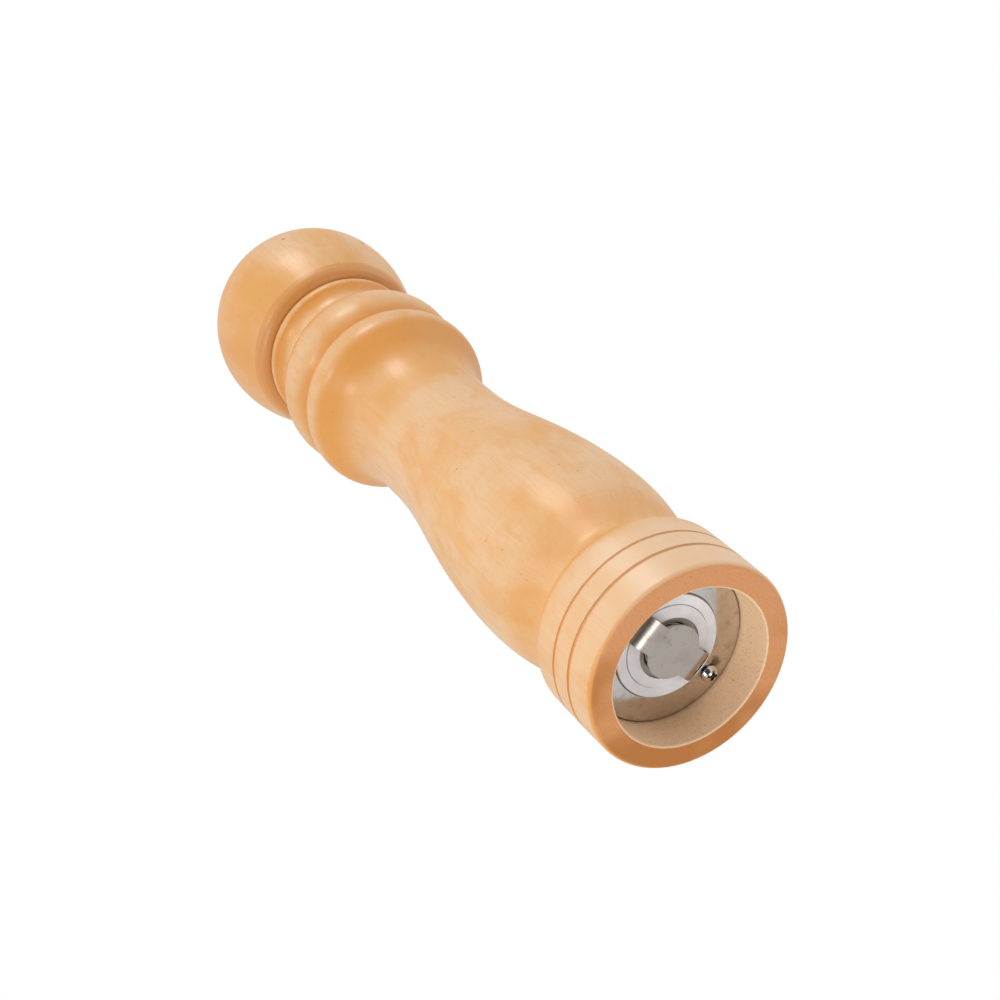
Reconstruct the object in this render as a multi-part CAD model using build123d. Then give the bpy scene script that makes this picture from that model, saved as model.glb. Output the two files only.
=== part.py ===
from build123d import *
from math import cos, radians, sin
import os

# A ten-inch turned wooden pepper mill, standing upright. Millimetres.
# +Z runs from the base rim to the top nut, and the origin is the centre of the rim's bottom face.
# +X points at one of the two screws of the cover plate.

# Base block and its recess
RIM_R = 25.3                 # edge of the flat base face, where its rounding starts
RIM_ROUND = 1.3
RECESS_R = 20.4
RECESS_FLOOR = 11.8
MOUTH_CHAMFER = 0.3
GROOVES = [(26.65, 9.4, 0.55, 0.5), (26.55, 16.3, 0.45, 0.4)]   # radius, height, half width, depth
SHOULDER = [(26.45, 22.3), (25.6, 25.6), (23.9, 27.2)]

# Body, outside, from the base cove up to the top edge of the lower ring: radius, height
SWELL = [(23.9, 27.2), (22.85, 30.2), (23.3, 34.0), (25.1, 42.0), (26.25, 52.0), (25.9, 68.5),
         (23.3, 89.5), (20.6, 105.0), (19.3, 117.0), (19.1, 127.5), (19.45, 137.0), (21.3, 144.6),
         (24.2, 149.9), (26.0, 153.2), (26.35, 156.6), (25.2, 160.9)]
VALLEY = [(25.2, 160.9), (24.3, 161.5), (24.1, 162.6)]
UPPER_RING = [(24.1, 162.6), (26.5, 169.2), (24.9, 177.2)]
RING_TOP = [(24.9, 177.2), (23.5, 179.2), (21.6, 180.2)]
TOP_COVE = [(21.6, 180.2), (20.3, 185.0), (22.1, 189.9)]
BEAD = [(22.1, 189.9), (22.85, 191.4), (22.6, 193.15)]

# Straight bore for the grinder and the peppercorns
BORE_R = 13.4

# Head
HEAD_GAP = 0.3               # dark line between head and body
HEAD_Z = BEAD[-1][1] + HEAD_GAP
HEAD_R = 29.25
HEAD_MIDDLE = 214.2
HEAD_FLARE = [(22.65, HEAD_Z), (24.1, HEAD_Z + 0.4), (25.3, HEAD_Z + 1.4), (26.0, HEAD_Z + 3.1),
              (26.85, HEAD_Z + 6.0), (28.15, HEAD_Z + 11.0), (29.0, HEAD_Z + 16.0), (HEAD_R, HEAD_MIDDLE)]
SEAT_R = 6.8                 # flat spot that the nut's washer rests on
TENON_R = 13.2
TENON_LENGTH = 10.0
HEAD_HOLE_R = 5.0

# Cover plate and its screws
PLATE_Z = 11.0
PLATE_IN_R = 13.5
PLATE_OUT_R = 20.2
SCREW_X = 16.7
SCREW_LENGTH = 11.0
SCREW_SHANK_R = 1.3
SCREW_HEAD_R = 2.2
SCREW_HEAD_H = 1.9
FIT_GAP = 0.05               # between two pieces that are fixed to each other

# Burr holder, a moulded ring pressed up into the bore
HOLDER_R = 13.35
HOLDER_EDGE = 0.1
HOLDER_Z = 10.4
HOLDER_TOP = 30.0
HOLDER_LIP_R = 10.9
HOLDER_LIP_TOP = 15.0
HOLDER_WALL_R = 12.6
FLANGE_R = 19.5
FLANGE_H = 1.0

# Retaining bar: a pressed strip with a round centre, its legs held in the holder
BAR_Z = 7.6
BAR_T = 0.6
BAR_DISC_R = 6.9
BAR_HALF_WIDTH = 3.9
BAR_BEND_X = 7.4
BAR_BEND_R = 5.3
BAR_LEG_TOP = 14.6

# Burrs, core, spring, clips
STATOR_OUT_R = 12.5
STATOR_TOP = 26.5
STATOR_IN_R = 11.1
BURR_TAPER = 0.1             # loss of radius per millimetre of height on both fine bands
BURR_CUP_R = 7.95
ROTOR_R = 10.75
ROTOR_CUP_Z = 9.5
ROTOR_EDGE_Z = 10.2
ROTOR_BAND_TOP = 19.0
ROTOR_TOP = 27.2
ROTOR_TIP_R = 6.4
CORE_Z = 10.3
CORE_R = 7.9
CORE_CUP_R = 6.45
CORE_WEB = (17.8, 20.0)
CORE_HUB_R = 4.9
CORE_TOP = 27.5
FINE_TEETH = 40
FINE_FLUTE_R = 0.3
FINE_LEAN = 12.0             # degrees off the axis
FINE_BAND_H = 4.5
TEETH_LEAD = 1.0             # the rotor's teeth start this far below the stator
COARSE_TEETH = 8
STATOR_MOUTH_R = 11.9
STATOR_FLUTE_R = 0.9
STATOR_LEAN = -14.0
ROTOR_FLUTE_R = 1.1
ROTOR_FLUTE_MID = (9.6, 24.2)    # radius and height of a coarse flute's middle
ROTOR_LEAN = (-18.0, -24.0)      # sideways, and in towards the tip
CLIP_R = 4.9
CLIP_T = 0.7
WASHER_R = 6.4
WASHER_T = 0.6
SPRING_R = 5.65
SPRING_WIRE_R = 0.4
SPRING_TURNS = 4.5

# Square drive shaft
SHAFT_SIDE = 6.0
SHAFT_CORNER = 0.4
SHAFT_Z = 15.0
SHAFT_SQUARE_TOP = 229.5
SHAFT_TOP = 250.3
CLIP_GROOVE_R = 2.6
THREAD_R = 2.5
THREAD_PITCH = 0.8
THREAD_DEPTH = 0.42
SQUARE_GAP = 0.12            # play on each side of the shaft in a square hole

# Shaft guide above the burrs
GUIDE_T = 2.0
GUIDE_HUB_R = 6.4
GUIDE_HOLE_R = 4.5
GUIDE_ARMS = 3
GUIDE_ARM_W = 2.2
GUIDE_RIM_R = 11.4           # inside of the rim and of the skirt above the stator

# Drive plate under the head's tenon
DRIVE_PLATE_R = 12.4
DRIVE_PLATE_T = 1.2
DRIVE_SCREW_X = 8.9
DRIVE_SCREW_R = 1.1
DRIVE_SCREW_LENGTH = 9.0
DRIVE_SCREW_HEAD = (2.1, 1.2)    # radius, height

# Form shared by the wood screws
SCREW_PITCH = 1.1
SCREW_PLAIN = 1.2            # smooth length under the head
SCREW_TIP = 1.6
SCREW_EDGE = 0.3             # share of the head's height that is its straight edge
SLOT_HALF_W = 0.42

# Top nut
NUT_WASHER_R = 6.5
NUT_WASHER_T = 0.8
NUT_R = 6.9
NUT_COLLAR_R = 5.6
NUT_COLLAR_H = 1.6
NUT_BAND_H = 4.2
NUT_TOP = 254.3
NUT_RIBS = 26
INSERT_R = 4.0
INSERT_BORE_R = THREAD_R + 0.08
INSERT_TOP = 252.1


def turned(*edges):
    """Solid turned about Z from a closed outline drawn as (radius, height)."""
    return revolve(Plane.XZ * make_face(edges), Axis.Z)


def turned_outline(points):
    """Solid turned about Z from the corners of a straight-sided outline."""
    return turned(*Polyline(*points, close=True).edges())


def ring(inner, outer, low, high):
    """Plain ring or, with no inner radius, a disc."""
    return turned_outline([(inner, low), (outer, low), (outer, high), (inner, high)])


def block(x_range, y_range, z_range):
    """Box given by its low and high coordinate on each axis."""
    lows, highs = zip(x_range, y_range, z_range)
    sizes = [high - low for low, high in zip(lows, highs)]
    return Pos(*lows) * Box(*sizes, align=(Align.MIN, Align.MIN, Align.MIN))


def both_sides(piece):
    """The piece and its copy half a turn about Z away."""
    return [piece, Rot(0, 0, 180) * piece]


def around(count, tool, phase=0.0):
    """The tool repeated evenly about Z."""
    return [Rot(0, 0, phase + 360.0 * i / count) * tool for i in range(count)]


def dome(radius, height, edge_z):
    """Arc of a spherical cap from its rim at edge_z to its top on the axis; height may point down."""
    ball_r = (radius ** 2 + height ** 2) / (2 * abs(height))
    middle = edge_z + height - ball_r * (1 if height > 0 else -1)
    side = (ball_r * cos(radians(60)), middle + ball_r * sin(radians(60)) * (1 if height > 0 else -1))
    return ThreePointArc((radius, edge_z), side, (0, edge_z + height))


def square_bar(side, low, high):
    """Upright square bar about Z."""
    return block((-side / 2, side / 2), (-side / 2, side / 2), (low, high))


def screw(head_r, head_h, shank_r, length):
    """Cross-head screw, its head's underside at z = 0, head down and tip up."""
    core_r = 0.72 * shank_r
    edge_z = -SCREW_EDGE * head_h
    cap = dome(head_r, -head_h - edge_z, edge_z)
    rim = Polyline((0, 0), (head_r, 0), (head_r, edge_z))
    head = turned(*rim.edges(), cap, Line((0, -head_h), (0, 0)))
    shank = [(0, edge_z / 2), (shank_r, edge_z / 2), (shank_r, SCREW_PLAIN)]
    for i in range(int((length - SCREW_PLAIN - SCREW_TIP) / SCREW_PITCH)):
        root = SCREW_PLAIN + i * SCREW_PITCH
        shank += [(core_r, root + 0.35 * SCREW_PITCH), (shank_r, root + SCREW_PITCH)]
    shank += [(core_r, length - SCREW_TIP), (0, length)]
    body = head + turned_outline(shank)
    slot_reach = 0.62 * head_r
    for angle in (45, 135):
        slot = block((-slot_reach, slot_reach), (-SLOT_HALF_W, SLOT_HALF_W), (-head_h - 1, edge_z))
        body -= Rot(0, 0, angle) * slot
    return body


def base_wall():
    """Outline of the base block's side, with its turned grooves."""
    edges = [CenterArc((RIM_R, RIM_ROUND), RIM_ROUND, -90, 90)]
    end = (RIM_R + RIM_ROUND, RIM_ROUND)
    for radius, height, half, depth in GROOVES:
        low, high = (radius, height - half), (radius, height + half)
        edges += [Line(end, low), ThreePointArc(low, (radius - depth, height), high)]
        end = high
    return edges + [Line(end, SHOULDER[0])]


def mill_body():
    outer = [*base_wall(), ThreePointArc(*SHOULDER), Spline(*SWELL), ThreePointArc(*VALLEY),
             ThreePointArc(*UPPER_RING), ThreePointArc(*RING_TOP), ThreePointArc(*TOP_COVE),
             ThreePointArc(*BEAD)]
    inner = Polyline(BEAD[-1], (BORE_R, BEAD[-1][1]), (BORE_R, RECESS_FLOOR + FLANGE_H + FIT_GAP),
                     (FLANGE_R + FIT_GAP, RECESS_FLOOR + FLANGE_H + FIT_GAP),
                     (FLANGE_R + FIT_GAP, RECESS_FLOOR), (RECESS_R, RECESS_FLOOR),
                     (RECESS_R, MOUTH_CHAMFER), (RECESS_R + MOUTH_CHAMFER, 0), (RIM_R, 0))
    wood = turned(*outer, *inner.edges())
    pilot = Pos(SCREW_X, 0, 0) * ring(0, SCREW_SHANK_R + FIT_GAP, RECESS_FLOOR - 1,
                                      PLATE_Z + SCREW_LENGTH + 0.3)
    return wood - both_sides(pilot)


def cover_plate():
    plate = ring(PLATE_IN_R, PLATE_OUT_R, PLATE_Z, RECESS_FLOOR)
    plate = fillet(plate.edges().group_by(Axis.Z)[0], 0.25)
    hole = Pos(SCREW_X, 0, 0) * ring(0, SCREW_SHANK_R + 0.2, PLATE_Z - 1, RECESS_FLOOR + 1)
    return plate - both_sides(hole)


def plate_screws():
    one = Rot(0, 0, 14) * screw(SCREW_HEAD_R, SCREW_HEAD_H, SCREW_SHANK_R, SCREW_LENGTH)
    return Compound(both_sides(Pos(SCREW_X, 0, PLATE_Z) * one))


def burr_holder():
    flange_z = RECESS_FLOOR
    holder = turned_outline([
        (HOLDER_LIP_R, HOLDER_Z), (HOLDER_R - HOLDER_EDGE, HOLDER_Z), (HOLDER_R, HOLDER_Z + HOLDER_EDGE),
        (HOLDER_R, flange_z), (FLANGE_R, flange_z), (FLANGE_R, flange_z + FLANGE_H),
        (HOLDER_R, flange_z + FLANGE_H), (HOLDER_R, HOLDER_TOP), (HOLDER_WALL_R, HOLDER_TOP),
        (HOLDER_WALL_R, HOLDER_LIP_TOP), (HOLDER_LIP_R, HOLDER_LIP_TOP)])
    slot = block((BURR_CUP_R, PLATE_IN_R), (-BAR_HALF_WIDTH - FIT_GAP, BAR_HALF_WIDTH + FIT_GAP),
                 (HOLDER_Z - 1, BAR_LEG_TOP + 0.2))
    hole = Pos(SCREW_X, 0, 0) * ring(0, SCREW_SHANK_R + FIT_GAP, PLATE_Z, flange_z + 3)
    return holder - both_sides(slot) - both_sides(hole)


def retaining_bar():
    """Round centre with two arms that bend up into legs, cut from one strip."""
    low, high = BAR_Z, BAR_Z + BAR_T
    centre = (BAR_BEND_X, BAR_Z + BAR_BEND_R)
    inner_r = BAR_BEND_R - BAR_T
    leg_out, leg_in = centre[0] + BAR_BEND_R, centre[0] + inner_r
    side = [Line((0, low), (centre[0], low)), CenterArc(centre, BAR_BEND_R, -90, 90),
            Line((leg_out, centre[1]), (leg_out, BAR_LEG_TOP)),
            Line((leg_out, BAR_LEG_TOP), (leg_in, BAR_LEG_TOP)),
            Line((leg_in, BAR_LEG_TOP), (leg_in, centre[1])), CenterArc(centre, inner_r, -90, 90),
            Line((centre[0], high), (0, high)), Line((0, high), (0, low))]
    arm = extrude(Plane.XZ * make_face(side), BAR_HALF_WIDTH, both=True)
    bar = ring(0, BAR_DISC_R, low, high)
    for piece in both_sides(arm):
        bar += piece
    return bar


def flutes(count, radius, flute_r, low, high, lean):
    """Slanting round flutes that cut burr teeth at the given radius."""
    flute = Pos(radius, 0, (low + high) / 2) * Rot(lean, 0, 0) * Cylinder(flute_r, high - low)
    return around(count, flute)


def stator_burr():
    low, high = HOLDER_LIP_TOP + FIT_GAP, STATOR_TOP
    fine_top = low + FINE_BAND_H
    fine_r = STATOR_IN_R - BURR_TAPER * FINE_BAND_H
    stator = turned_outline([(STATOR_IN_R, low), (STATOR_OUT_R, low), (STATOR_OUT_R, high),
                             (STATOR_MOUTH_R, high), (fine_r, fine_top)])
    stator -= flutes(FINE_TEETH, STATOR_IN_R, FINE_FLUTE_R, low - 1, fine_top + 1, FINE_LEAN)
    return stator - flutes(COARSE_TEETH, STATOR_IN_R, STATOR_FLUTE_R, fine_top, high + 2, STATOR_LEAN)


def rotor_burr():
    top_band_r = ROTOR_R - BURR_TAPER * (ROTOR_BAND_TOP - HOLDER_LIP_TOP)
    rotor = turned_outline([
        (BURR_CUP_R, ROTOR_CUP_Z), (ROTOR_R, ROTOR_EDGE_Z), (ROTOR_R, HOLDER_LIP_TOP),
        (top_band_r, ROTOR_BAND_TOP), (ROTOR_TIP_R, ROTOR_TOP), (CORE_HUB_R + FIT_GAP, ROTOR_TOP),
        (CORE_HUB_R + FIT_GAP, CORE_WEB[1] + FIT_GAP), (BURR_CUP_R, CORE_WEB[1] + FIT_GAP)])
    teeth_z = HOLDER_LIP_TOP - TEETH_LEAD
    rotor -= flutes(FINE_TEETH, ROTOR_R, FINE_FLUTE_R, teeth_z, ROTOR_BAND_TOP + 1, -FINE_LEAN)
    radius, middle = ROTOR_FLUTE_MID
    coarse = Pos(radius, 0, middle) * Rot(*ROTOR_LEAN, 0) * Cylinder(ROTOR_FLUTE_R, 13)
    return rotor - around(COARSE_TEETH, coarse)


def rotor_core():
    web_low, web_high = CORE_WEB
    core = turned_outline([
        (CORE_CUP_R, CORE_Z), (CORE_R, CORE_Z), (CORE_R, web_high), (CORE_HUB_R, web_high),
        (CORE_HUB_R, CORE_TOP), (0, CORE_TOP), (0, web_low), (CORE_CUP_R, web_low)])
    return core - square_bar(SHAFT_SIDE + 2 * SQUARE_GAP, web_low - 1, CORE_TOP + 1)


def clip_heights():
    """Undersides of the clips below and above the rotor core."""
    return [CORE_WEB[0] - FIT_GAP - CLIP_T, CORE_TOP + FIT_GAP]


def shaft_clips():
    clips = []
    for height in clip_heights():
        clip = ring(CLIP_GROOVE_R, CLIP_R, height, height + CLIP_T)
        clips.append(clip - block((0, CLIP_R + 1), (-1.9, 1.9), (height - 1, height + 2)))
    return Compound(clips)


def thrust_washer():
    low = BAR_Z + BAR_T + FIT_GAP
    return fillet(ring(2.0, WASHER_R, low, low + WASHER_T).edges().group_by(Axis.Z)[0], 0.15)


def spring():
    low = BAR_Z + BAR_T + WASHER_T + 2 * FIT_GAP + SPRING_WIRE_R
    height = CORE_WEB[0] - FIT_GAP - SPRING_WIRE_R - low
    coil = Pos(0, 0, low) * Helix(height / SPRING_TURNS, height, SPRING_R)
    section = Plane(origin=coil @ 0, z_dir=coil % 0) * Circle(SPRING_WIRE_R)
    return sweep(section, path=coil)


def drive_shaft():
    square = square_bar(SHAFT_SIDE, SHAFT_Z, SHAFT_SQUARE_TOP)
    square = chamfer(square.edges().filter_by(Axis.Z), SHAFT_CORNER)
    for height in clip_heights():
        square -= ring(CLIP_GROOVE_R - FIT_GAP, SHAFT_SIDE, height - FIT_GAP, height + CLIP_T + FIT_GAP)
    root_r = THREAD_R - THREAD_DEPTH
    profile = [(0, SHAFT_SQUARE_TOP), (root_r, SHAFT_SQUARE_TOP)]
    turns = int((SHAFT_TOP - SHAFT_SQUARE_TOP - 1.0) / THREAD_PITCH)
    for i in range(turns):
        base = SHAFT_SQUARE_TOP + i * THREAD_PITCH
        profile += [(root_r, base + 0.1 * THREAD_PITCH), (THREAD_R, base + 0.45 * THREAD_PITCH),
                    (THREAD_R, base + 0.65 * THREAD_PITCH)]
    profile += [(root_r, SHAFT_TOP - 0.4), (root_r - 0.4, SHAFT_TOP), (0, SHAFT_TOP)]
    return square + turned_outline(profile)


def shaft_guide():
    """Three-armed spider on the holder's rim, with a skirt that keeps the stator down."""
    low = HOLDER_TOP + FIT_GAP
    guide = ring(GUIDE_RIM_R, HOLDER_R, low, low + GUIDE_T)
    guide += ring(GUIDE_RIM_R, HOLDER_WALL_R - FIT_GAP, STATOR_TOP + FIT_GAP, low)
    guide += ring(GUIDE_HOLE_R, GUIDE_HUB_R, low, low + GUIDE_T)
    half = GUIDE_ARM_W / 2
    arm = block((GUIDE_HUB_R - 0.5, GUIDE_RIM_R + 0.5), (-half, half), (low, low + GUIDE_T))
    for placed in around(GUIDE_ARMS, arm, 90):
        guide += placed
    return guide


def washer_z():
    """Flat on top of the head where the nut's washer rests."""
    return HEAD_MIDDLE + (HEAD_R ** 2 - SEAT_R ** 2) ** 0.5


def head_knob():
    seat_z = washer_z()
    ball_mid = (HEAD_R * cos(radians(40)), HEAD_MIDDLE + HEAD_R * sin(radians(40)))
    tenon_z = HEAD_Z - TENON_LENGTH
    outer = [Spline(*HEAD_FLARE),
             ThreePointArc((HEAD_R, HEAD_MIDDLE), ball_mid, (SEAT_R, seat_z))]
    inner = Polyline((SEAT_R, seat_z), (HEAD_HOLE_R, seat_z), (HEAD_HOLE_R, tenon_z),
                     (TENON_R - 0.6, tenon_z), (TENON_R, tenon_z + 0.6), (TENON_R, HEAD_Z),
                     HEAD_FLARE[0])
    head = turned(*outer, *inner.edges())
    pilot = Pos(DRIVE_SCREW_X, 0, 0) * ring(0, DRIVE_SCREW_R + FIT_GAP, tenon_z - 1,
                                            tenon_z + DRIVE_SCREW_LENGTH - 0.8)
    return head - both_sides(pilot)


def drive_plate():
    high = HEAD_Z - TENON_LENGTH
    plate = ring(0, DRIVE_PLATE_R, high - DRIVE_PLATE_T, high)
    plate = fillet(plate.edges().group_by(Axis.Z)[0], 0.3)
    plate -= square_bar(SHAFT_SIDE + 2 * SQUARE_GAP, high - 3, high + 1)
    hole = Pos(DRIVE_SCREW_X, 0, 0) * ring(0, DRIVE_SCREW_R + 0.15, high - 3, high + 1)
    return plate - both_sides(hole)


def drive_plate_screws():
    low = HEAD_Z - TENON_LENGTH - DRIVE_PLATE_T
    one = screw(*DRIVE_SCREW_HEAD, DRIVE_SCREW_R, DRIVE_SCREW_LENGTH)
    return Compound(both_sides(Pos(DRIVE_SCREW_X, 0, low) * one))


def nut_washer():
    washer = ring(INSERT_BORE_R + 0.2, NUT_WASHER_R, washer_z(), washer_z() + NUT_WASHER_T)
    return fillet(washer.edges().group_by(Axis.Z)[-1], 0.2)


def top_nut():
    low = washer_z() + NUT_WASHER_T + FIT_GAP
    band_low = low + NUT_COLLAR_H
    band_high = band_low + NUT_BAND_H
    cavity_r, cavity_top = INSERT_R + FIT_GAP, INSERT_TOP + FIT_GAP
    outline = Polyline((0, NUT_TOP), (0, cavity_top), (cavity_r, cavity_top), (cavity_r, low),
                       (NUT_COLLAR_R, low), (NUT_COLLAR_R, band_low - 0.5),
                       (NUT_R - 0.4, band_low - 0.5), (NUT_R, band_low), (NUT_R, band_high))
    nut = turned(*outline.edges(), dome(NUT_R, NUT_TOP - band_high, band_high))
    flute = Pos(NUT_R + 0.25, 0, (band_low + band_high) / 2) * Cylinder(0.55, NUT_BAND_H + 2)
    return nut - around(NUT_RIBS, flute)


def nut_insert():
    low = washer_z() + NUT_WASHER_T + 3 * FIT_GAP
    return ring(INSERT_BORE_R, INSERT_R, low, INSERT_TOP)


NODES = [mill_body, cover_plate, plate_screws, burr_holder, stator_burr, retaining_bar, thrust_washer,
         spring, rotor_core, rotor_burr, shaft_clips, drive_shaft, shaft_guide, head_knob, drive_plate,
         drive_plate_screws, nut_washer, top_nut, nut_insert]


def main():
    os.makedirs("parts", exist_ok=True)
    for make in NODES:
        export_step(Compound(make().solids()), f"parts/{make.__name__}.step")


main()
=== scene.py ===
from math import cos, pi, radians, sin

import bpy
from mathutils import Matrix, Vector


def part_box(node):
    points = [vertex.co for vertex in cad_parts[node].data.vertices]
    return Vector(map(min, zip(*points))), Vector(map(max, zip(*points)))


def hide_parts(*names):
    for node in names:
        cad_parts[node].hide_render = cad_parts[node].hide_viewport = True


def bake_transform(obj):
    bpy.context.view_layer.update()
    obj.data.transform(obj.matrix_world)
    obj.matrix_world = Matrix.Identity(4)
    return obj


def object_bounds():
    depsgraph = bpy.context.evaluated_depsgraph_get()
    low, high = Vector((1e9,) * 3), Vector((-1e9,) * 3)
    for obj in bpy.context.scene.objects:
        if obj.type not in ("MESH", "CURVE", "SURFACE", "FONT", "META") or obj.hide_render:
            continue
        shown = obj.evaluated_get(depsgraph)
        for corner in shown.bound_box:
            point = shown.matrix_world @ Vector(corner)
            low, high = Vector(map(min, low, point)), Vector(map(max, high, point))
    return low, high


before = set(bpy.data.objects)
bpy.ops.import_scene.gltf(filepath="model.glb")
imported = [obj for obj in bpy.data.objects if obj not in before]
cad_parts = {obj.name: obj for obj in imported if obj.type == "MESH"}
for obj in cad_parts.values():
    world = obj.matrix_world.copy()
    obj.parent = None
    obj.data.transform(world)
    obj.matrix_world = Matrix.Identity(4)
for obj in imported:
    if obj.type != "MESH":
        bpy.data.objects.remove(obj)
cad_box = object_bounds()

# A turned wooden pepper mill, standing on z = 0 with its axis on Z. The scene is in metres, but places and
# sizes inside materials are in millimetres.
MM = 0.001
scene = bpy.context.scene
low, high = cad_box
middle = (low + high) / 2


# ---------------------------------------------------------------- small helpers

class Graph:
    """Adds nodes to one material. A value given to a socket may be a number, a colour or another output."""

    def __init__(self, name, **sockets):
        self.material = bpy.data.materials.new(name)
        self.material.use_nodes = True
        self.tree = self.material.node_tree
        self.shader = self.tree.nodes["Principled BSDF"]
        self.set(**sockets)

    def put(self, socket, value):
        if isinstance(value, bpy.types.NodeSocket):
            self.tree.links.new(value, socket)
        elif isinstance(value, (tuple, list)) and len(value) == 3 and len(socket.default_value) == 4:
            socket.default_value = (*value, 1)
        else:
            socket.default_value = value

    def set(self, **sockets):
        for socket, value in sockets.items():
            self.put(self.shader.inputs[socket.replace("_", " ")], value)
        return self.material

    def add(self, kind, out=0, inputs=(), **settings):
        """New node, whose inputs are given by socket index or name. Returns one of its outputs."""
        node = self.tree.nodes.new("ShaderNode" + kind)
        for key, value in settings.items():
            setattr(node, key, value)
        for key, value in dict(inputs).items():
            self.put(node.inputs[key], value)
        return node.outputs[out]

    def math(self, operation, a, b=0.0):
        return self.add("Math", inputs={0: a, 1: b}, operation=operation)

    def product(self, a, b):
        return self.math("MULTIPLY", a, b)

    def largest(self, a, b):
        return self.math("MAXIMUM", a, b)

    def coords(self, per_mm=(1.0, 1.0, 1.0), shift=(0.0, 0.0, 0.0)):
        """Place on the object in millimetres, times per_mm along each axis."""
        place = self.add("TexCoord", "Object")
        return self.add("Mapping", inputs={"Vector": place, "Location": shift,
                                           "Scale": [s / MM for s in per_mm]})

    def split(self, vector):
        """The three parts of a vector."""
        return self.add("SeparateXYZ", inputs={0: vector}).node.outputs

    def from_axis(self, centre=(0.0, 0.0)):
        """Distance in millimetres from an upright line, and height."""
        x, y, z = self.split(self.coords())
        dx = self.math("SUBTRACT", x, centre[0])
        dy = self.math("SUBTRACT", y, centre[1])
        return self.math("SQRT", self.math("ADD", self.product(dx, dx), self.product(dy, dy))), z

    def noise(self, vector, detail=3.0, roughness=0.5, distortion=0.0):
        return self.add("TexNoise", inputs={"Vector": vector, "Scale": 1.0, "Detail": detail,
                                            "Roughness": roughness, "Distortion": distortion})

    def band(self, value, start, end, to_low=0.0, to_high=1.0):
        """The value taken smoothly from start..end to to_low..to_high."""
        return self.add("MapRange", inputs={0: value, 1: start, 2: end, 3: to_low, 4: to_high},
                        interpolation_type="SMOOTHSTEP")

    def near(self, value, centre, half):
        """1 around the centre, 0 from half away."""
        off = self.math("ABSOLUTE", self.math("SUBTRACT", value, centre))
        return self.band(off, 0.35 * half, half, 1.0, 0.0)

    def toward(self, direction):
        """Distance in millimetres from the axis, measured along a level direction."""
        x, y, _ = self.split(self.coords())
        return self.math("ADD", self.product(x, direction[0]), self.product(y, direction[1]))

    def beside(self, place, reach):
        """1 close to a point on the object in millimetres, 0 from reach away."""
        off = self.add("VectorMath", "Value", inputs={0: self.coords(), 1: place}, operation="DISTANCE")
        return self.band(off, 0.35 * reach, reach, 1.0, 0.0)

    def mix(self, factor, a, b):
        """Colour a, going over to colour b as factor goes from 0 to 1."""
        return self.add("Mix", 2, inputs={0: factor, 6: a, 7: b}, data_type="RGBA")

    def bump(self, height, distance_mm, strength=1.0):
        """Relief of distance_mm between height 0 and height 1."""
        normal = self.add("Bump", inputs={"Height": height, "Distance": distance_mm * MM,
                                          "Strength": strength})
        self.put(self.shader.inputs["Normal"], normal)

    def along_axis(self):
        """0 where the surface is upright, 1 where it faces up or down."""
        return self.math("ABSOLUTE", self.split(self.add("NewGeometry", "Normal"))[2])


def paint(node_names, material):
    for name in node_names:
        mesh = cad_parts[name].data
        mesh.materials.clear()
        mesh.materials.append(material)


# ---------------------------------------------------------------- wood

PALE, WARM, HONEY, BROWN = (0.83, 0.545, 0.305), (0.81, 0.445, 0.165), (0.79, 0.32, 0.05), (0.40, 0.15, 0.04)
BLUSH, PIT = (0.87, 0.62, 0.41), (0.13, 0.065, 0.035)
END_FACE, END_DEEP = (0.80, 0.35, 0.14), (0.50, 0.165, 0.02)
RAW, DUST_AND_SHADE = (0.97, 0.68, 0.43), (0.22, 0.10, 0.045)
PINK, GROOVE, LIP_HIGHLIGHT = (0.72, 0.34, 0.13), (0.68, 0.26, 0.045), (0.90, 0.66, 0.45)
SATIN = {"Specular_IOR_Level": 0.34, "Coat_Weight": 0.14, "Coat_Roughness": 0.19}

BODY_PITH, HEAD_PITH = (46.0, 22.0), (-38.0, 30.0)      # where the growth rings have their centre
BODY_DARKER_SIDE, HONEY_SIDE = (0.475, 0.88), (-0.735, 0.678)      # directions in which body and head get deeper; on the body's end face the deeper side is painted shade
SHADED_HOLLOWS = ((142.0, 24.0), (32.0, 13.0))                   # hollows painted deeper, as painted shade: height, half
GROOVES = ((9.4, 0.60), (16.3, 0.50))                   # turned grooves of the base, painted darker inside as painted shade: height, half width
RIM_FACE = (0.06, 0.36)                                 # heights between which the flat rim ends
RECESS, RECESS_FLOOR, BORE = (20.72, 20.84), (13.2, 13.8), (13.9, 14.3)
LIP_RADIUS = 20.62                                      # the recess's sharp edge
PITS = (((-24.5, -15.6, 217.4), 0.75), ((-5.35, -28.7, 211.4), 0.95))       # on the head: place, reach


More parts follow.
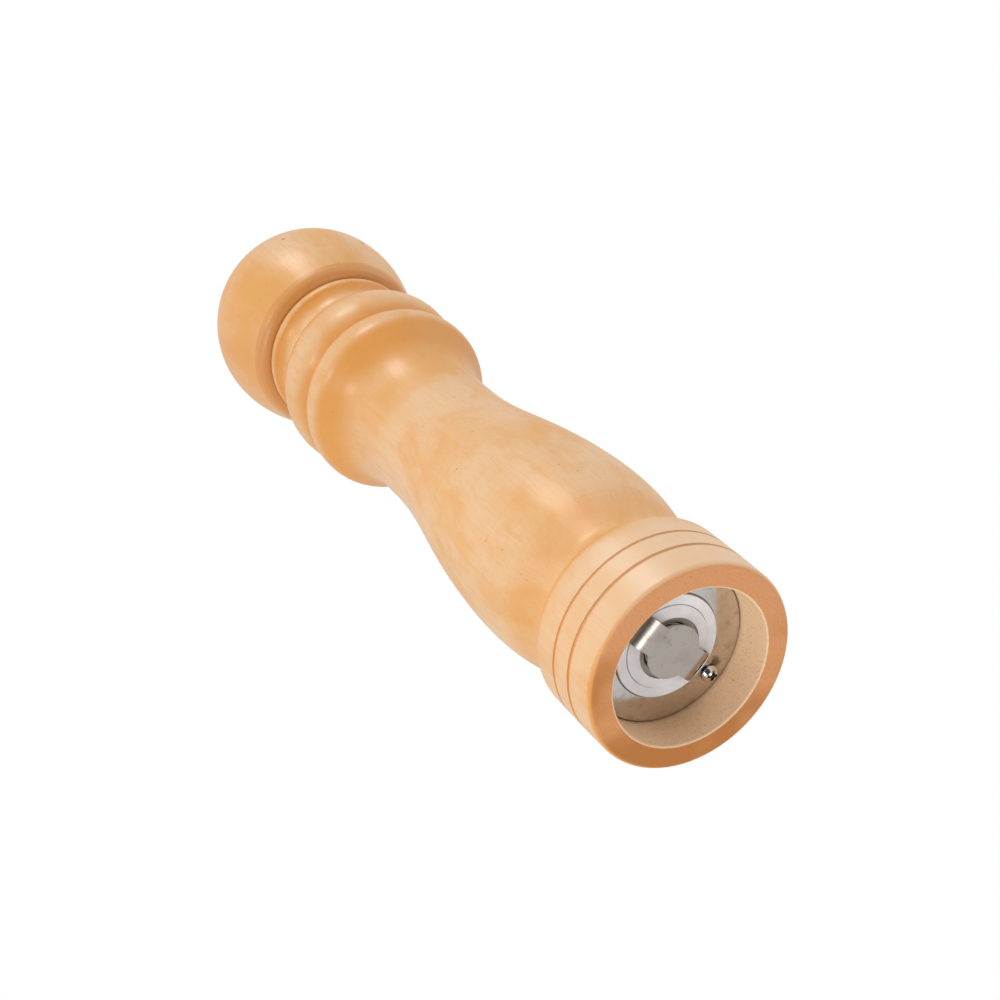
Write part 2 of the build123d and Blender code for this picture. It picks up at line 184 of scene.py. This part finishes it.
def lacquered(g, seed, pith, end_grain_and_shade):
    """Colour, fibres and fine grain of the pale hardwood, deeper where the surface faces along the axis:
    partly where its fibres end in the surface, partly painted shade.
    """
    shift = (seed * 37.0, seed * -23.0, seed * 61.0)
    sway = g.noise(g.coords((0.012, 0.012, 0.006), shift), detail=2.0)
    from_pith, _ = g.from_axis(pith)
    swayed = g.math("ADD", from_pith, g.math("MULTIPLY", sway, 18.0))
    late = g.band(g.math("PINGPONG", g.math("DIVIDE", swayed, 4.2), 0.5), 0.28, 0.5)
    fibre = g.noise(g.coords((2.4, 2.4, 0.09), shift), detail=4.0, roughness=0.6)
    mottle = g.noise(g.coords((0.05, 0.05, 0.028), shift), detail=3.0, distortion=0.6)
    cloud = g.noise(g.coords((0.13, 0.13, 0.09), shift), detail=2.0, distortion=0.4)
    fleck = g.band(g.noise(g.coords((1.3, 1.3, 0.7), shift), detail=1.0), 0.755, 0.80)
    streak = g.band(g.noise(g.coords((0.35, 0.35, 0.03), shift), detail=2.0, distortion=0.3), 0.64, 0.74)
    grain = g.noise(g.coords((2.2, 2.2, 2.2), shift), detail=3.0, roughness=0.65)

    colour = g.mix(g.band(mottle, 0.43, 0.68), PALE, WARM)
    colour = g.mix(g.product(g.band(cloud, 0.46, 0.70), 0.30), colour, HONEY)
    colour = g.mix(g.product(late, 0.13), colour, HONEY)
    colour = g.mix(g.product(g.band(fibre, 0.40, 0.72), 0.26), colour, HONEY)
    colour = g.mix(g.product(streak, 0.22), colour, HONEY)
    deep = g.mix(g.product(g.band(grain, 0.42, 0.75), 0.16), HONEY, BROWN)
    # deeper where the surface faces up or down: partly end grain, partly painted shade on flanks and coves
    colour = g.mix(g.product(g.band(g.along_axis(), 0.08, 0.62), end_grain_and_shade), colour, deep)
    colour = g.mix(g.product(fleck, 0.55), colour, BROWN)
    return colour, fibre, grain


def turning_lines(g, seed):
    """Fine lines left round the axis by the lathe tool."""
    radius, z = g.from_axis()
    line = g.add("CombineXYZ", inputs={0: g.product(radius, 3.4), 1: seed, 2: g.product(z, 3.4)})
    return g.noise(line, detail=3.0, roughness=0.6)


def body_wood():
    """Lacquered outside, with a deeper end face under the rim and bare wood in the recess and bore."""
    g = Graph("pale_wood_body")
    colour, fibre, grain = lacquered(g, 1.0, BODY_PITH, 0.88)
    lines = turning_lines(g, 1.0)
    radius, z = g.from_axis()
    colour = g.mix(g.product(g.band(lines, 0.46, 0.68), 0.18), colour, HONEY)
    # painted shade in the neck's cove and in the cove above the base
    hollow_shade = g.largest(*(g.near(z, height, half) for height, half in SHADED_HOLLOWS))
    colour = g.mix(g.product(hollow_shade, 0.26), colour, HONEY)
    towards_darker_side = g.toward(BODY_DARKER_SIDE)
    blush = g.product(g.band(z, 18.0, 27.0, 1.0, 0.0), g.band(towards_darker_side, -22.0, 2.0, 0.60, 0.04))
    colour = g.mix(blush, colour, BLUSH)
    # painted shade inside the turned grooves, strongest towards their bottom
    for height, half in GROOVES:
        groove_shade = g.product(g.near(z, height, half), g.band(radius, 25.9, 26.7, 0.50, 0.12))
        colour = g.mix(groove_shade, colour, GROOVE)

    speck = g.noise(g.coords((1.5, 1.5, 1.5), (5.0, 9.0, 2.0)), detail=3.0, roughness=0.7)
    under = g.band(z, *RIM_FACE, 1.0, 0.0)
    end_face = g.mix(g.product(g.band(speck, 0.45, 0.70), 0.26), END_FACE, BROWN)
    # painted shade: the end face deeper towards one side, where light falls off across it; the blotch noise
    # is random tone
    blotch = g.noise(g.coords((0.06, 0.06, 0.06), (11.0, 3.0, 0.0)), detail=2.0)
    deeper = g.math("ADD", g.product(towards_darker_side, 0.012), blotch)
    end_face = g.mix(g.product(g.band(deeper, 0.35, 0.80), 0.85), end_face, END_DEEP)
    colour = g.mix(g.product(under, 0.95), colour, end_face)

    recess = g.product(g.band(radius, *RECESS, 1.0, 0.0), g.band(z, *RECESS_FLOOR, 1.0, 0.0))
    inside = g.largest(recess, g.band(radius, *BORE, 1.0, 0.0))
    raw = g.mix(g.product(g.band(speck, 0.45, 0.75), 0.5), RAW, WARM)
    dust = g.noise(g.coords((2.2, 2.2, 1.6), (3.0, 4.0, 8.0)), detail=2.0, roughness=0.7)
    raw = g.mix(g.product(g.band(dust, 0.60, 0.70), 0.40), raw, DUST_AND_SHADE)
    # painted shade: the recess darker further in, towards the plate
    raw = g.mix(g.product(g.band(z, 9.2, 11.6), 0.22), raw, DUST_AND_SHADE)
    colour = g.mix(inside, colour, raw)
    # painted highlight: a paler line along the recess's sharp edge
    lip_highlight = g.product(g.near(radius, LIP_RADIUS, 0.20), g.band(z, 0.2, 0.5, 1.0, 0.0))
    colour = g.mix(g.product(lip_highlight, 0.35), colour, LIP_HIGHLIGHT)

    relief = g.math("ADD", g.product(fibre, 0.6), g.product(lines, 0.4))
    bare = g.math("ADD", inside, under)
    g.bump(g.math("ADD", relief, g.product(grain, g.band(bare, 0.0, 1.0, 0.0, 2.2))), 0.03, 0.45)
    rough = g.math("ADD", g.band(fibre, 0.3, 0.8, 0.36, 0.44), g.band(bare, 0.0, 1.0, 0.0, 0.28))
    return g.set(Base_Color=colour, Roughness=rough, **SATIN)


def head_wood():
    """Lacquered ball with a redder flat underside and two small pits."""
    g = Graph("pale_wood_head")
    colour, fibre, _ = lacquered(g, 3.0, HEAD_PITH, 0.45)
    lines = turning_lines(g, 5.0)
    _, z = g.from_axis()
    colour = g.mix(g.product(g.band(lines, 0.46, 0.68), 0.16), colour, HONEY)
    colour = g.mix(g.band(g.toward(HONEY_SIDE), 9.0, 27.0, 0.0, 0.42), colour, HONEY)
    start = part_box("mill_body")[1].z / MM            # the head begins where the body ends
    under = g.product(g.band(z, start + 3.6, start + 4.2, 1.0, 0.0), g.band(z, start - 0.6, start, 0.0, 1.0))
    colour = g.mix(g.product(under, 0.72), colour, g.mix(g.band(lines, 0.40, 0.62), PINK, GROOVE))
    pits = g.largest(*(g.beside(place, reach) for place, reach in PITS))
    colour = g.mix(g.product(pits, 0.75), colour, PIT)
    relief = g.math("ADD", g.product(fibre, 0.5), g.product(lines, g.band(under, 0.0, 1.0, 0.35, 1.6)))
    g.bump(relief, 0.03, 0.45)
    return g.set(Base_Color=colour, Roughness=g.band(fibre, 0.3, 0.8, 0.36, 0.44), **SATIN)


# ---------------------------------------------------------------- metal, ceramic, plastic

# tone of the painted shade on the cover plate and its screws
SHADE_TONE = (0.035, 0.022, 0.015)
PLATE_EDGES = ((13.5, 0.30), (20.2, 0.22))              # of the ring plate, painted darker along them as painted shade: radius, half width of the line
SHADE_PATCHES = (((16.0, -2.7), 1.9), ((14.9, 0.9), 1.4))     # painted shade beside one screw: place, reach
SCREW_X = 16.7                                          # from the axis to each screw of the plate


def plate_shade(g):
    """Painted shade on the cover plate: darker along its edges, and in two dark patches beside one screw."""
    radius, _ = g.from_axis()
    edge = g.largest(*(g.near(radius, edge_radius, half) for edge_radius, half in PLATE_EDGES))
    ragged = g.noise(g.coords((0.9, 0.9, 0.9), (2.0, 7.0, 1.0)), detail=3.0)
    painted_shade = g.product(edge, 0.42)
    for place, reach in SHADE_PATCHES:
        off, _ = g.from_axis(place)
        shade_patch = g.band(g.math("ADD", off, g.product(ragged, 2.4)), reach, reach + 1.5, 1.0, 0.0)
        painted_shade = g.largest(painted_shade, g.product(shade_patch, 0.72))
    return painted_shade


def screw_shade(g):
    """Painted shade in the cross slots of the plate's screws, and round the foot of their heads."""
    x, y, z = g.split(g.coords())
    dx = g.math("SUBTRACT", g.math("ABSOLUTE", x), SCREW_X)
    off = g.math("SQRT", g.math("ADD", g.product(dx, dx), g.product(y, y)))
    head = g.band(off, 1.40, 1.52, 1.0, 0.0)
    slot = g.product(g.product(head, g.band(z, 9.65, 9.95)), 0.5)
    return g.largest(slot, g.product(g.band(z, 10.45, 10.95), 0.8))


def metal(name, colour, smooth, rough, grain=(0.4, 6.0, 6.0), relief_mm=0.01, tint=(0.62, 0.57, 0.52),
          stained=0.40, painted_shade=None):
    """Steel, brass or aluminium with a fine grain, faint clouds and small stains."""
    g = Graph(name, Metallic=1.0)
    clouds = g.noise(g.coords((0.16, 0.16, 0.16)), detail=4.0, roughness=0.6)
    spots = g.noise(g.coords((0.4, 0.4, 0.4)), detail=2.0, roughness=0.4)
    lines = g.noise(g.coords(grain), detail=3.0)
    g.bump(lines, relief_mm, 0.4)
    shade = [c * t for c, t in zip(colour, tint)]
    tone = g.mix(g.product(g.band(clouds, 0.45, 0.72), stained), colour, shade)
    tone = g.mix(g.product(g.band(spots, 0.58, 0.72), stained), tone, shade)
    # painted shade, where the material has it
    if painted_shade:
        tone = g.mix(painted_shade(g), tone, SHADE_TONE)
    return g.set(Base_Color=tone, Roughness=g.band(clouds, 0.3, 0.7, smooth, rough))


def moulded(name, colour, rough, speck=0.03):
    """Moulded plastic or fired ceramic, with a slightly uneven surface and tone."""
    g = Graph(name)
    clouds = g.noise(g.coords((0.2, 0.2, 0.2)), detail=4.0)
    grain = g.noise(g.coords((4.0, 4.0, 4.0)), detail=2.0)
    shade = [c * (1 - 4 * speck) for c in colour]
    g.bump(grain, 0.01, 0.35)
    return g.set(Base_Color=g.mix(g.band(clouds, 0.3, 0.75), colour, shade),
                 Roughness=g.band(grain, 0.3, 0.7, rough - 0.05, rough + 0.08))


SPRING_STEEL = metal("drawn_wire", (0.50, 0.50, 0.51), 0.25, 0.35)
paint(["mill_body"], body_wood())
paint(["head_knob"], head_wood())
paint(["cover_plate"], metal("smooth_plate", (0.66, 0.64, 0.62), 0.10, 0.16, painted_shade=plate_shade))
paint(["drive_plate"], metal("satin_plate", (0.66, 0.64, 0.62), 0.20, 0.32))
paint(["retaining_bar"], metal("satin_strip", (0.52, 0.475, 0.43), 0.24, 0.34, tint=(0.50, 0.40, 0.32),
                               stained=0.32))
paint(["plate_screws"], metal("bright_screw", (0.82, 0.81, 0.80), 0.06, 0.11, painted_shade=screw_shade))
paint(["drive_plate_screws"], metal("plated_screw", (0.80, 0.79, 0.78), 0.08, 0.14))
paint(["thrust_washer", "shaft_clips", "spring"], SPRING_STEEL)
paint(["drive_shaft"], metal("drawn_shaft", (0.78, 0.78, 0.80), 0.32, 0.45, grain=(6.0, 6.0, 0.2)))
paint(["nut_washer", "top_nut"], metal("polished_nut", (0.60, 0.59, 0.57), 0.16, 0.26))
paint(["nut_insert"], metal("turned_insert", (0.78, 0.56, 0.25), 0.22, 0.34))
paint(["burr_holder", "shaft_guide"], moulded("white_moulding", (0.93, 0.95, 0.99), 0.30))
paint(["rotor_burr", "stator_burr"], moulded("white_ceramic", (0.92, 0.935, 0.975), 0.42))
paint(["rotor_core"], moulded("dark_core", (0.58, 0.49, 0.42), 0.5))


# ---------------------------------------------------------------- spring

def add_spring():
    """Coil with closed ends, built at rest in place of the spring part. In the mill its upper end rises with
    the rotor, which stretches it a little; this coil doesn't follow it.
    """
    box_low, box_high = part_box("spring")
    wire = 0.4 * MM                              # half the wire's thickness
    reach = box_high.x - wire
    bottom, top = box_low.z + wire, box_high.z - wire
    turns, closed, steps, sides = 6.5, 1.0, 48, 12
    closed_rise = 2.1 * wire                     # each turn at the ends nearly touches the next
    open_rise = (top - bottom - 2 * closed * closed_rise) / (turns - 2 * closed)
    verts, faces = [], []
    count = int(turns * steps) + 1
    for i in range(count):
        turn = i / steps
        flat = min(turn, closed) + max(turn - (turns - closed), 0)
        z = bottom + flat * closed_rise + (turn - flat) * open_rise
        angle = 2 * pi * turn
        out = Vector((cos(angle), sin(angle), 0))
        for j in range(sides):
            turned = 2 * pi * j / sides
            verts.append(out * (reach + wire * cos(turned)) + Vector((0, 0, z + wire * sin(turned))))
    for i in range(count - 1):
        for j in range(sides):
            k = (j + 1) % sides
            faces.append((i * sides + j, (i + 1) * sides + j, (i + 1) * sides + k, i * sides + k))
    faces.append(tuple(range(sides)))
    faces.append(tuple((count - 1) * sides + j for j in reversed(range(sides))))
    mesh = bpy.data.meshes.new("spring_coil")
    mesh.from_pydata(verts, [], faces)
    for face in mesh.polygons[:-2]:              # all but the two cut ends
        face.use_smooth = True
    mesh.materials.append(SPRING_STEEL)
    coil = bpy.data.objects.new("spring_coil", mesh)
    scene.collection.objects.link(coil)
    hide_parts("spring")
    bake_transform(coil)


# ---------------------------------------------------------------- stage

def add_floor():
    """Pale floor under the mill, seen from above only: the main camera looks up from below its level."""
    mesh = bpy.data.meshes.new("floor")
    half, gap = 15.0, 0.0002
    mesh.from_pydata([(-half, -half, 0), (half, -half, 0), (half, half, 0), (-half, half, 0)], [],
                     [(0, 1, 2, 3)])
    floor = bpy.data.objects.new("floor", mesh)
    scene.collection.objects.link(floor)
    floor.location.z = low.z - gap
    floor.visible_shadow = floor.visible_diffuse = floor.visible_glossy = False
    g = Graph("floor", Base_Color=(0.86, 0.86, 0.86), Roughness=0.7)
    clear = g.add("BsdfTransparent")
    seen = g.add("MixShader", inputs={0: g.add("NewGeometry", "Backfacing"),
                                      1: g.shader.outputs[0], 2: clear})
    g.put(g.tree.nodes["Material Output"].inputs["Surface"], seen)
    mesh.materials.append(g.material)
    return floor


SWEEP = Vector((0.674, 0.738, -0.01))            # where the bright sweep lies
DARK_SIDE = Vector((-0.72, -0.02, -0.69))        # the unlit part of the room


def add_world(dim, bright, dark, seen):
    """White surroundings, from dim to bright towards the sweep, and dark on one side. The camera sees an
    even backdrop of strength seen instead."""
    world = bpy.data.worlds.new("studio")
    world.use_nodes = True
    scene.world = world
    tree = world.node_tree
    place = tree.nodes.new("ShaderNodeTexCoord")
    strengths = []
    for direction, start, end, first, last in ((SWEEP, -0.35, 0.45, dim, bright),
                                               (DARK_SIDE, 0.72, 0.92, 1.0, dark)):
        toward = tree.nodes.new("ShaderNodeVectorMath")
        toward.operation = "DOT_PRODUCT"
        toward.inputs[1].default_value = direction
        ramp = tree.nodes.new("ShaderNodeMapRange")
        ramp.interpolation_type = "SMOOTHSTEP"
        for index, value in enumerate((start, end, first, last), start=1):
            ramp.inputs[index].default_value = value
        tree.links.new(place.outputs["Generated"], toward.inputs[0])
        tree.links.new(toward.outputs["Value"], ramp.inputs[0])
        strengths.append(ramp.outputs[0])
    strength = tree.nodes.new("ShaderNodeMath")
    strength.operation = "MULTIPLY"
    light = tree.nodes["Background"]
    light.inputs["Color"].default_value = (1, 1, 1, 1)
    backdrop = tree.nodes.new("ShaderNodeBackground")
    backdrop.inputs["Color"].default_value = (1, 1, 1, 1)
    backdrop.inputs["Strength"].default_value = seen
    path = tree.nodes.new("ShaderNodeLightPath")
    pick = tree.nodes.new("ShaderNodeMixShader")
    for index, output in enumerate(strengths):
        tree.links.new(output, strength.inputs[index])
    tree.links.new(strength.outputs[0], light.inputs["Strength"])
    tree.links.new(path.outputs["Is Camera Ray"], pick.inputs[0])
    tree.links.new(light.outputs[0], pick.inputs[1])
    tree.links.new(backdrop.outputs[0], pick.inputs[2])
    tree.links.new(pick.outputs[0], tree.nodes["World Output"].inputs["Surface"])


def add_softbox(name, toward, distance, size, power, unlit=None):
    """Square area light in the given direction from the middle of the mill, facing it. The object unlit
    gets none of its light: a light that stands low would draw a bright edge on the floor."""
    data = bpy.data.lights.new(name, "AREA")
    data.size = size
    data.energy = power
    light = bpy.data.objects.new(name, data)
    scene.collection.objects.link(light)
    light.location = middle + Vector(toward).normalized() * distance
    light.rotation_euler = (light.location - middle).to_track_quat("Z", "Y").to_euler()
    if unlit:
        left_out = bpy.data.collections.new(name + "_leaves_out")
        left_out.objects.link(unlit)
        left_out.collection_objects[0].light_linking.link_state = "EXCLUDE"
        light.light_linking.receiver_collection = left_out


def add_camera():
    """Below the rim and to one side, and turned so that the mill lies across the picture."""
    data = bpy.data.cameras.new("camera")
    data.sensor_width = 36.0
    data.lens = 75.6
    camera = bpy.data.objects.new("camera", data)
    camera.location = (-0.33977, -0.04057, -0.33047)
    camera.rotation_euler = (radians(151.27), radians(27.70), radians(-42.70))
    scene.collection.objects.link(camera)
    scene.camera = camera


scene.view_settings.view_transform = "Standard"
add_spring()
floor = add_floor()
add_world(0.62, 0.72, 0.08, 1.0)
add_softbox("overhead", (-0.62, -0.51, 0.55), 4.0, 1.20, 48.0)
add_softbox("side", (-0.92, 0.34, 0.13), 4.0, 0.80, 29.0, unlit=floor)
add_softbox("front", (-0.02, 0.10, -0.99), 0.9, 0.28, 0.8)
add_softbox("right", (0.20, -0.95, -0.12), 1.1, 0.70, 2.4, unlit=floor)
add_softbox("low_left", (-0.62, 0.55, -0.56), 1.0, 0.36, 3.0)
add_camera()
